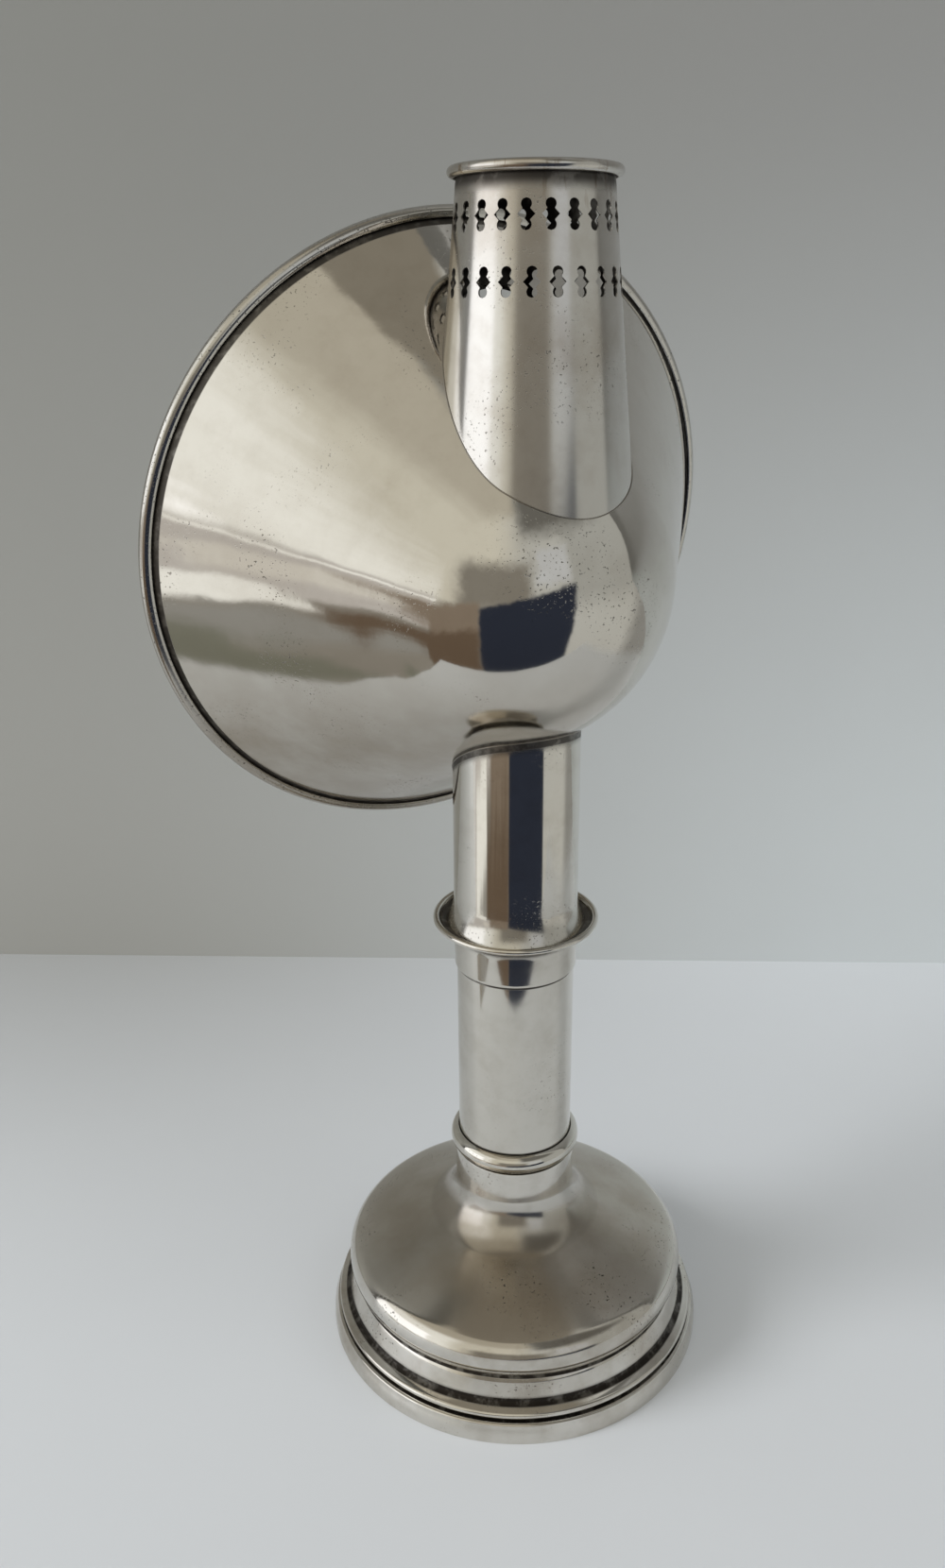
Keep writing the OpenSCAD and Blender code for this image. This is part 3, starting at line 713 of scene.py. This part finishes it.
def candle():
    """Candle with a melted hollow and a braided wick."""
    outline = [(0, CANDLE_BOTTOM), (CANDLE_R, CANDLE_BOTTOM), (CANDLE_R, CANDLE_TOP - 0.02)]
    outline += [(9.4, CANDLE_TOP - 0.02), (8.6, CANDLE_TOP - 0.5), (6.5, CANDLE_TOP - 1.5),
                (4, CANDLE_TOP - 2), (1.6, CANDLE_TOP - 1.9), (1.05, CANDLE_TOP - 1.2), (0, CANDLE_TOP - 1.2)]
    dress(lathe("candle_body", outline, round_r=0.4), WAX, "feed", "wax", "candle")
    low, high = CANDLE_TOP - 2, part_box("wick")[1].z / MM
    strands = []
    for k in range(3):
        points = []
        for i in range(61):
            t = i / 60
            a = 2 * math.pi * (k / 3 + 2.2 * t)
            bend = 0.25 * t * t
            points.append((0.42 * math.cos(a) + bend, 0.42 * math.sin(a), low + (high - low - 0.5) * t))
        strands.append(points)
    pieces = [tube(f"wick_strand_{k + 1}", p, 0.5 - 0.06 * k) for k, p in enumerate(strands)]
    for piece in pieces:
        dress(piece, WICK, "feed", "wick")
    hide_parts("wick")


# ---- Head ----

def reflector():
    """The bowl with its rolled rim, cut open for the chimney and the sleeve."""
    wall = BOWL_WALL
    slope = math.degrees(CONE_ANGLE)
    nose = (0, BOWL.nose_at)
    meet = -90 - slope
    outer = arc(nose, NOSE_R, -90, -slope, 40)
    bead_wire = BEAD_R - 0.5
    inner_end = meet - math.degrees(math.asin(wall / BEAD_R)) + 360
    rim = (RIM_R, RIM_AHEAD)
    outer += [rim_point(rim, bead_wire, meet)]
    outer = refine(outer, 2.5)
    lip = [rim_point(rim, bead_wire, meet + 10)] + arc(rim, BEAD_R, meet + 16, inner_end, 40)
    inner = arc(nose, NOSE_R - wall, -slope, -90, 40)
    outline = [(max(r, 0.0), z) for r, z in outer + lip + refine([lip[-1]] + inner, 2.5)[1:]]
    outline[0] = (0.0, outline[0][1])
    outline[-1] = (0.0, outline[-1][1])
    piece = lathe("reflector_bowl", outline, BOWL.place(), segments=360, round_r=0.1)
    chimney_r0 = chimney_r(AXIS_Z) - CHIMNEY_WALL
    top_r = chimney_r(330) - CHIMNEY_WALL
    core = lathe("chimney_core", [(0, AXIS_Z), (chimney_r0, AXIS_Z), (top_r, 330), (0, 330)],
                 Matrix.Translation((0, CHIMNEY_Y, 0)), round_r=0)
    bore = SLEEVE_R - SLEEVE_WALL
    bore_outline = [(0, 130), (bore, 130), (bore - SLEEVE_TAPER, AXIS_Z), (0, AXIS_Z)]
    sleeve_core = lathe("sleeve_core", bore_outline, round_r=0)
    cut(piece, core, sleeve_core)
    rim_centre = BOWL.origin + BOWL.axis * RIM_AHEAD
    true_normals(piece, [bowl_skin(BOWL, 0), bowl_skin(BOWL, -wall, -1),
                         ring_skin(rim_centre, BOWL.axis, RIM_R, BEAD_R)], dents())

    def on_rim(points):
        d = points - BOWL.origin
        h = d @ BOWL.axis
        rho = np.linalg.norm(d - h[:, None] * BOWL.axis, axis=1)
        return 0.9 * (np.hypot(rho - RIM_R, h - RIM_AHEAD) < BEAD_R + 0.15)

    def burnt(points):
        far = np.linalg.norm(points - [0, 2, 262], axis=1)
        inside = BOWL.distance(points)[0] < -0.3
        return 0.75 * inside * np.exp(-(far / 34) ** 2)

    paint(piece, "wear", on_rim)
    # Haze and painted shade: the bowl gets darker and duller towards its bottom.
    paint(piece, "haze", lambda points: 0.9 * np.clip((226 - points[:, 2]) / 45, 0, 1))
    paint(piece, "soot", burnt)
    dress(piece, BOWL_NICKEL, "head", "nickel", "reflector", "reflector_wire")


def dents():
    """Knocks in the bowl: a place near the surface, a radius, and a depth, all in mm."""
    knocks = (((37.4, 10.9, 208.5), 3.2, 0.10), ((52, -3.5, 234), 7, -0.12), ((42, 8, 215), 8, 0.14),
              ((67, -22, 226), 6, 0.08), ((33, 19, 214), 7, -0.10), ((32, 22, 226), 6, 0.08),
              ((-4, 35, 216), 6, 0.05), ((62, -15, 214), 9, 0.10), ((-45, 5, 232), 8, 0.12),
              ((-62, -20, 205), 6, -0.08), ((20, 30, 240), 7, 0.05))
    made = []
    for place, r, depth in knocks:
        distance, normal = BOWL.distance(np.array([place], float))
        made.append((np.array(place) - distance[0] * normal[0], r, depth, -normal[0]))
    return made


def rim_point(centre, r, degrees):
    return (centre[0] + r * math.cos(math.radians(degrees)), centre[1] + r * math.sin(math.radians(degrees)))


def chimney_r(z):
    return CHIMNEY_TOP_R + CHIMNEY_TAPER * (CHIMNEY_LIP_Z - z)


def hole_outline():
    """A pierced hole: a pointed middle between two round lobes."""
    steps = 36
    top = 3.15
    right = []
    for i in range(steps + 1):
        y = -top + 2 * top * i / steps
        middle = math.sqrt(max(0, 1.35 ** 2 - y * y))
        lobe = math.sqrt(max(0, 1.15 ** 2 - (abs(y) - 2) ** 2))
        right.append((max(middle, lobe, 1.9 - abs(y), 0), y))
    return right + [(-x, y) for x, y in right[-2:0:-1]]


def chimney():
    """Tapered tube with two rows of holes and a rolled lip, cut to sit on the bowl."""
    ring_r = CHIMNEY_LIP_RING
    crease = 180 + math.degrees(math.acos((ring_r - CHIMNEY_TOP_R) / CHIMNEY_LIP_R))
    low = AXIS_Z
    roll = arc((ring_r, CHIMNEY_LIP_Z), CHIMNEY_LIP_R, crease, 540, 30)
    outer = refine([(chimney_r(low), low), (chimney_r(roll[0][1] - 1.2), roll[0][1] - 1.2)], 4)
    outer += refine([outer[-1], roll[0]], 0.3)[1:]
    inner = refine([roll[-1], (chimney_r(low) - CHIMNEY_WALL, low)], 4)
    place = Matrix.Translation((0, CHIMNEY_Y, 0))
    piece = lathe("chimney_tube", outer + roll[1:] + inner[1:], place, round_r=0.1)
    slope = math.degrees(CONE_ANGLE)
    far = 70.0
    cone_h = far - BOWL.nose_at + NOSE_R * math.sin(CONE_ANGLE)
    cone_end = (NOSE_R * math.cos(CONE_ANGLE) + cone_h * math.tan(CONE_ANGLE), far)
    nose = arc((0, BOWL.nose_at), NOSE_R, -90, -slope, 40)[1:]
    solid = [(0.0, BOWL.nose_at - NOSE_R)] + nose + [cone_end, (0, far)]
    bowl_solid = lathe("bowl_solid", solid, BOWL.place(), segments=360, round_r=0)
    holes = []
    outline = hole_outline()
    flat_to_wall = Matrix.Rotation(math.pi / 2, 4, "Z") @ Matrix.Rotation(math.pi / 2, 4, "X")
    for z, turn in HOLE_ROWS:
        for i in range(HOLES):
            angle = math.radians(turn + 360 * i / HOLES)
            upright = Matrix.Translation((0, CHIMNEY_Y, z)) @ Matrix.Rotation(angle, 4, "Z")
            outward = Matrix.Translation((chimney_r(z), 0, 0)) @ flat_to_wall
            holes.append(prism(outline, 4, upright @ outward))
    cut(piece, bowl_solid, merged("hole_cutters", holes))
    centre = np.array([0, CHIMNEY_Y, CHIMNEY_LIP_Z])
    true_normals(piece, [
        cylinder_skin(0, CHIMNEY_Y, CHIMNEY_TOP_R, CHIMNEY_TAPER, CHIMNEY_LIP_Z),
        cylinder_skin(0, CHIMNEY_Y, CHIMNEY_TOP_R - CHIMNEY_WALL, CHIMNEY_TAPER, CHIMNEY_LIP_Z, -1),
        ring_skin(centre, np.array([0, 0, 1.0]), ring_r, CHIMNEY_LIP_R)])

    def inner_side(points):
        rho = np.hypot(points[:, 0], points[:, 1] - CHIMNEY_Y)
        middle = CHIMNEY_TOP_R + CHIMNEY_TAPER * (CHIMNEY_LIP_Z - points[:, 2]) - CHIMNEY_WALL / 2
        return 1.0 * ((rho < middle) & (points[:, 2] < CHIMNEY_LIP_Z + 0.6))

    paint(piece, "soot", inner_side)
    dress(piece, SATIN, "head", "satin_nickel", "chimney", "chimney_wire")


def on_bowl(x0, y0, radius_at, low, high, grow, count=240):
    """Points where an upright tube round (x0, y0) meets the bowl."""
    points = []
    for i in range(count):
        a = 2 * math.pi * i / count
        z = (low + high) / 2
        for _ in range(4):
            r = radius_at(z)
            z = BOWL.height_on(x0 + r * math.cos(a), y0 + r * math.sin(a), low, high, grow)
        points.append((x0 + radius_at(z) * math.cos(a), y0 + radius_at(z) * math.sin(a), z))
    return points


def sleeve_r(z):
    straight = (z - (LEDGE_Z + 12)) / (AXIS_Z - LEDGE_Z - 12)
    return SLEEVE_R - SLEEVE_TAPER * max(0, straight)


def sleeve():
    """Sleeve under the bowl, with a flared foot. Its top follows the bowl."""
    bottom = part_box("head_sleeve")[0].z / MM
    angle = 2 * math.degrees(math.atan(FLARE_OUT / FLARE_H))
    flare_r = FLARE_H / math.sin(math.radians(angle))
    flare = arc((SLEEVE_R + flare_r, bottom + FLARE_H), flare_r, 180 + angle, 180, 14)
    top = on_bowl(0, 0, sleeve_r, 150, AXIS_Z, -0.02, SEGMENTS)
    steps = 24
    verts, crease = [], []
    for wall in (0, SLEEVE_WALL):
        for r, z in flare:
            for j in range(SEGMENTS):
                a = 2 * math.pi * j / SEGMENTS
                verts.append(((r - wall) * math.cos(a), (r - wall) * math.sin(a), z))
                crease.append(0)
        for i in range(1, steps + 1):
            for j in range(SEGMENTS):
                a = 2 * math.pi * j / SEGMENTS
                z = flare[-1][1] + (top[j][2] - flare[-1][1]) * i / steps
                r = sleeve_r(z) - wall
                verts.append((r * math.cos(a), r * math.sin(a), z))
                # Darker just under the bowl: dirty metal and painted shade where the sleeve meets it.
                crease.append(math.exp(-(top[j][2] - z) / 1.2))
    rows = len(flare) + steps
    faces = []
    for j in range(SEGMENTS):
        k = (j + 1) % SEGMENTS
        for i in range(rows - 1):
            a, b = i * SEGMENTS, (i + 1) * SEGMENTS
            faces.append((a + j, a + k, b + k, b + j))
            a, b = a + rows * SEGMENTS, b + rows * SEGMENTS
            faces.append((a + k, a + j, b + j, b + k))
        inside = rows * SEGMENTS
        faces.append((k, j, inside + j, inside + k))
        last = (rows - 1) * SEGMENTS
        faces.append((last + j, last + k, inside + last + k, inside + last + j))
    piece = mesh_object("head_sleeve_skin", verts, faces, crease=crease)
    paint(piece, "wear", lambda points: 0.8 * np.exp(-((points[:, 2] - bottom - 3) / 4) ** 2))
    dress(piece, POLISHED, "head", "nickel", "head_sleeve")


def seams():
    """Soldered seams round the chimney and the sleeve where they meet the bowl; their dark colour is also
    painted shade in these joints.
    """
    line = on_bowl(0, CHIMNEY_Y, lambda z: chimney_r(z) + 0.05, AXIS_Z, 330, 0.05)
    dress(tube("chimney_solder_and_shade", line, 0.15, closed=True), SOLDER_AND_SHADE, "head", "nickel")
    line = on_bowl(0, 0, lambda z: sleeve_r(z) + 0.05, 150, AXIS_Z, 0.05)
    dress(tube("sleeve_solder_and_shade", line, 0.13, closed=True), SOLDER_AND_SHADE, "head", "nickel")


def kept_nodes():
    """CAD nodes whose own shape shows, with their materials."""
    for node, surface in (("foot_weight", IRON), ("foot_plate", BRASS), ("bayonet_pins", STEEL),
                          ("tube_plug", BRASS), ("follower", BRASS)):
        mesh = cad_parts[node].data
        mesh.materials.clear()
        mesh.materials.append(surface)


# ---- Room, lights and camera ----

BEARING = math.radians(59.3)          # direction of the camera from the lamp, from +X
TOWARD = (math.cos(BEARING), math.sin(BEARING), 0.0)
RIGHT = (-math.sin(BEARING), math.cos(BEARING), 0.0)
CAMERA_FAR, CAMERA_HIGH = 311.5, 288.5
PITCH, ROLL, YAW = math.radians(20.87), math.radians(-0.48), math.radians(-2.11)
FOCAL_PIXELS, PHOTO_WIDTH, SENSOR = 1343.1, 1000, 36.0
TABLE_EDGE = 204.0                    # where the table ends towards the camera, as the metal sees it
TABLE_LEFT = 186.0                    # where it ends to the camera's left, as the metal sees it
TABLE_RIGHT = 330.0                   # where it ends to the camera's right, as the metal sees it
WALL_BACK = 215.0                     # distance of the wall behind the stem

# What the metal sees round the lamp. Each part has its sides, from the camera's bearing to its
# right in degrees, its lower and upper edge in degrees, how much its edges rise towards the
# right, how soft they are, and its colour. A later part covers an earlier one.
ROOM = (
    ("right wall", 8, 180, -90, 90, 0, 14, (0.60, 0.605, 0.575)),
    ("upper part of the right wall", 44, 180, -8, 60, 0, 8, (0.46, 0.465, 0.44)),
    ("far right of the room", 98, 180, -40, 60, 0, 9, (0.33, 0.33, 0.315)),
    ("bright wall by the window", -150, -39, -14, 50, 0, 7, (1.1, 1.1, 1.05)),
    ("upper wall", -180, 16, 47, 90, 0, 7, (0.55, 0.515, 0.43)),
    ("dim middle of the room", -26, 20, -12, 19, 0, 6, (0.27, 0.25, 0.215)),
    ("dark corner under the ceiling", 14, 80, 36, 74, 0, 8, (0.17, 0.165, 0.15)),
    ("ceiling", -180, 180, 71.5, 91, 0, 1.2, (0.27, 0.245, 0.20)),
    ("pale cabinet", 24, 46, 5, 26, 0, 3, (0.64, 0.66, 0.68)),
    ("space below the table", -180, 44, -91, -5, 0, 3, (0.33, 0.31, 0.275)),
    ("dark side of the room", -180, -104, -91, 90, 0, 8, (0.19, 0.185, 0.17)),
    ("side of the window seat", -78, -40, -21, -4.5, 0.1, 1.5, (0.64, 0.61, 0.58)),
    ("pale step", -57, -42, -15, -8, 0.2, 1.5, (0.82, 0.79, 0.73)),
    ("low shelf", -46, -13, -28, -5.5, 0.1, 2, (0.28, 0.225, 0.175)),
    ("brown cupboard", -54, -13, -60, -22, 0, 3, (0.16, 0.115, 0.08)),
    ("dark floor", -13, 49, -91, -2.5, 0.2, 1.5, (0.030, 0.036, 0.055)),
    ("edge of the seat", -76, -54, -26, -19.5, 0.15, 1, (1.1, 1.1, 1.06)),
    ("bright sill", -86, -77, -28, -8, 0, 1.5, (0.85, 0.85, 0.85)),
    ("plants outside", -68, -54, -37, -27, 0, 2.5, (0.36, 0.355, 0.335)),
    ("bushes outside", -92, -64, -52, -33, 0, 3, (0.24, 0.245, 0.20)),
    ("window", -114, -53, -2.5, 25, 0, 2, (1.6, 1.62, 1.66)),
    ("lower frame of the window", -66, -38, -5.2, -4.3, 0, 0.4, (1.2, 1.2, 1.15)))


def room_light():
    """The room as the metal sees it, and a plain light for the rest."""
    world = bpy.data.worlds.new("room")
    world.use_nodes = True
    bpy.context.scene.world = world
    s = Shader(world.node_tree)
    ray = s.coords("Generated")

    def part(direction):
        made = s.node("ShaderNodeVectorMath", {0: ray, 1: direction}, operation="DOT_PRODUCT")
        return made.outputs["Value"]

    degrees = 180 / math.pi
    side = s.times(s.math("ARCTAN2", part(RIGHT), part(TOWARD)), degrees)
    up = s.times(s.math("ARCSINE", part((0.0, 0.0, 1.0))), degrees)
    drift = s.math("SUBTRACT", s.noise(ray, 2.5, 3, 0.5), 0.5)
    ragged = s.math("SUBTRACT", s.noise(ray, 11, 4, 0.65), 0.5)
    tint = colour(0.74, 0.71, 0.61)
    for name, left, right, low, high, rise, soft, paint_colour in ROOM:
        rough = min(soft, 4)
        shift = s.math("ADD", s.times(drift, 1.5 * rough), s.times(ragged, 3.0 * min(rough, 3)))
        across = s.math("ADD", side, shift)
        upward = s.math("ADD", up, shift)
        if rise:
            upward = s.math("SUBTRACT", upward, s.times(s.math("SUBTRACT", side, (left + right) / 2), rise))
        covers = s.between(upward, low, high, soft)
        if left > -180 or right < 180:
            covers = s.times(covers, s.between(across, left, right + (180 if right == 180 else 0), soft))
        tint = s.mix(covers, tint, colour(*paint_colour))
    camera_ray = s.node("ShaderNodeLightPath").outputs["Is Camera Ray"]
    tint = s.mix(camera_ray, tint, colour(0.42, 0.43, 0.43))
    background = s.node("ShaderNodeBackground", {"Color": tint, "Strength": 1.0})
    out = s.node("ShaderNodeOutputWorld")
    s.feed(out.inputs["Surface"], background.outputs[0])


def sheet_object(name, corners, surface):
    piece = mesh_object(name, corners, [tuple(range(len(corners)))])
    piece.data.materials.append(surface)
    return piece


def spot(forward, right, z):
    """A point given by its distances towards the camera, to the camera's right and up."""
    return tuple(forward * t + right * r for t, r in zip(TOWARD[:2], RIGHT[:2])) + (z,)


def along(s, where, direction):
    return s.node("ShaderNodeVectorMath", {0: where, 1: direction}, operation="DOT_PRODUCT").outputs["Value"]


def table():
    """Pale glossy table. For the metal it ends at two edges, and beyond them the room shows."""
    made, s = material("table_paint")
    where = s.coords()
    cloud = s.step(s.noise(where, 9, 4, 0.6), 0.3, 0.7)
    tint = s.mix(cloud, colour(0.69, 0.72, 0.76), colour(0.697, 0.727, 0.767))
    forward, aside = along(s, where, TOWARD), along(s, where, RIGHT)
    # Painted shade on the table behind the lamp, strongest to its left, where the reflector shades it.
    dim = s.times(s.step(forward, -0.26, 0.03, 1.0, 0.0), s.step(aside, -0.22, 0.16, 1.0, 0.15))
    tint = s.mix(s.times(dim, 0.75), tint, colour(0.30, 0.305, 0.30))
    # Painted shade, darker far to the left.
    tint = s.mix(s.step(aside, -1.6, -0.6, 0.85, 0.0), tint, colour(0.12, 0.12, 0.12))
    gloss = s.step(s.noise(where, 60, 3, 0.6), 0.3, 0.7, 0.29, 0.31)
    bump = s.bump(s.noise(where, 900, 3, 0.5), 0.01)
    paint_shader = s.node("ShaderNodeBsdfPrincipled",
                          {"Base Color": tint, "Roughness": gloss, "Normal": bump})
    clear = s.node("ShaderNodeBsdfTransparent")
    past = s.most(s.step(forward, (TABLE_EDGE - 1) * MM, (TABLE_EDGE + 1) * MM),
                  s.times(s.step(aside, -(TABLE_LEFT + 1) * MM, -(TABLE_LEFT - 1) * MM, 1.0, 0.0),
                          s.step(forward, 0.060, 0.075)),
                  s.step(aside, (TABLE_RIGHT - 40) * MM, (TABLE_RIGHT + 40) * MM))
    glossy = s.node("ShaderNodeLightPath").outputs["Is Glossy Ray"]
    both = s.node("ShaderNodeMixShader", {0: s.times(past, glossy)})
    s.feed(both.inputs[1], paint_shader.outputs[0])
    s.feed(both.inputs[2], clear.outputs[0])
    out = s.node("ShaderNodeOutputMaterial")
    s.feed(out.inputs["Surface"], both.outputs[0])
    reach = 6000
    sheet_object("table", [spot(reach, -reach, 0), spot(reach, reach, 0),
                           spot(-reach, reach, 0), spot(-reach, -reach, 0)], made)


def wall():
    """Wall behind the lamp, with painted shade: darker to the left and above. From its back it doesn't show.
    """
    made, s = material("wall_paint")
    where = s.coords()
    aside = along(s, where, RIGHT)
    height = along(s, where, (0.0, 0.0, 1.0))
    # Painted light and shade: the wall lighter to the right and darker higher up.
    painted_lit_side = s.step(aside, -0.24, 0.26)
    top = s.step(height, 0.05, 0.42)
    low_tint = s.mix(painted_lit_side, colour(0.41, 0.41, 0.39), colour(0.75, 0.80, 0.83))
    high_tint = s.mix(painted_lit_side, colour(0.28, 0.282, 0.266), colour(0.33, 0.332, 0.33))
    tint = s.mix(top, low_tint, high_tint)
    tint = s.mix(s.times(s.noise(where, 5, 4, 0.6), 0.2), tint, colour(0.40, 0.40, 0.40))
    # Painted shade, darker far to the left.
    tint = s.mix(s.step(aside, -1.6, -0.6, 0.6, 0.0), tint, colour(0.12, 0.12, 0.12))
    paint_shader = s.node("ShaderNodeBsdfDiffuse", {"Color": tint})
    clear = s.node("ShaderNodeBsdfTransparent")
    back = s.node("ShaderNodeNewGeometry").outputs["Backfacing"]
    shadow = s.node("ShaderNodeLightPath").outputs["Is Shadow Ray"]
    both = s.node("ShaderNodeMixShader", {0: s.most(back, shadow)})
    s.feed(both.inputs[1], paint_shader.outputs[0])
    s.feed(both.inputs[2], clear.outputs[0])
    out = s.node("ShaderNodeOutputMaterial")
    s.feed(out.inputs["Surface"], both.outputs[0])
    reach, high = 6000, 6000
    sheet_object("wall", [spot(-WALL_BACK, -reach, 0), spot(-WALL_BACK, reach, 0),
                          spot(-WALL_BACK, reach, high), spot(-WALL_BACK, -reach, high)], made)


def lamp(name, at, size, power, tint=(1, 1, 1)):
    """Soft lamp that points at the object and doesn't show in the metal."""
    data = bpy.data.lights.new(name, "AREA")
    data.shape = "DISK"
    data.size = size * MM
    data.energy = power
    data.color = tint
    obj = bpy.data.objects.new(name, data)
    bpy.context.scene.collection.objects.link(obj)
    obj.location = Vector(at) * MM
    aim = Vector((0, 0, 0.12)) - obj.location
    obj.rotation_euler = aim.to_track_quat("-Z", "Y").to_euler()
    obj.visible_glossy = False
    return obj


def camera():
    data = bpy.data.cameras.new("camera")
    data.sensor_fit = "HORIZONTAL"
    data.sensor_width = SENSOR
    data.lens = SENSOR * FOCAL_PIXELS / PHOTO_WIDTH
    data.clip_start = 0.01
    obj = bpy.data.objects.new("camera", data)
    bpy.context.scene.collection.objects.link(obj)
    ahead = Vector((math.sin(YAW) * math.cos(PITCH), math.cos(YAW) * math.cos(PITCH), -math.sin(PITCH)))
    right = Vector((math.cos(YAW), -math.sin(YAW), 0))
    up = right.cross(ahead)
    rolled_right = right * math.cos(ROLL) + up * math.sin(ROLL)
    rolled_up = up * math.cos(ROLL) - right * math.sin(ROLL)
    axes = Matrix((rolled_right, rolled_up, -ahead)).transposed().to_4x4()
    axes.translation = Vector((0, -CAMERA_FAR * MM, CAMERA_HIGH * MM))
    obj.matrix_world = Matrix.Rotation(BEARING + math.pi / 2, 4, "Z") @ axes
    bpy.context.scene.camera = obj


camera()
foot()
gallery()
candle_holder()
cap()
candle()
reflector()
chimney()
sleeve()
seams()
kept_nodes()
room_light()
table()
wall()
lamp("window_lamp", spot(500, -1700, 1200), 1000, 24)
lamp("ceiling_lamp", spot(300, 900, 1700), 1400, 6)
bpy.context.scene.view_settings.view_transform = "Standard"
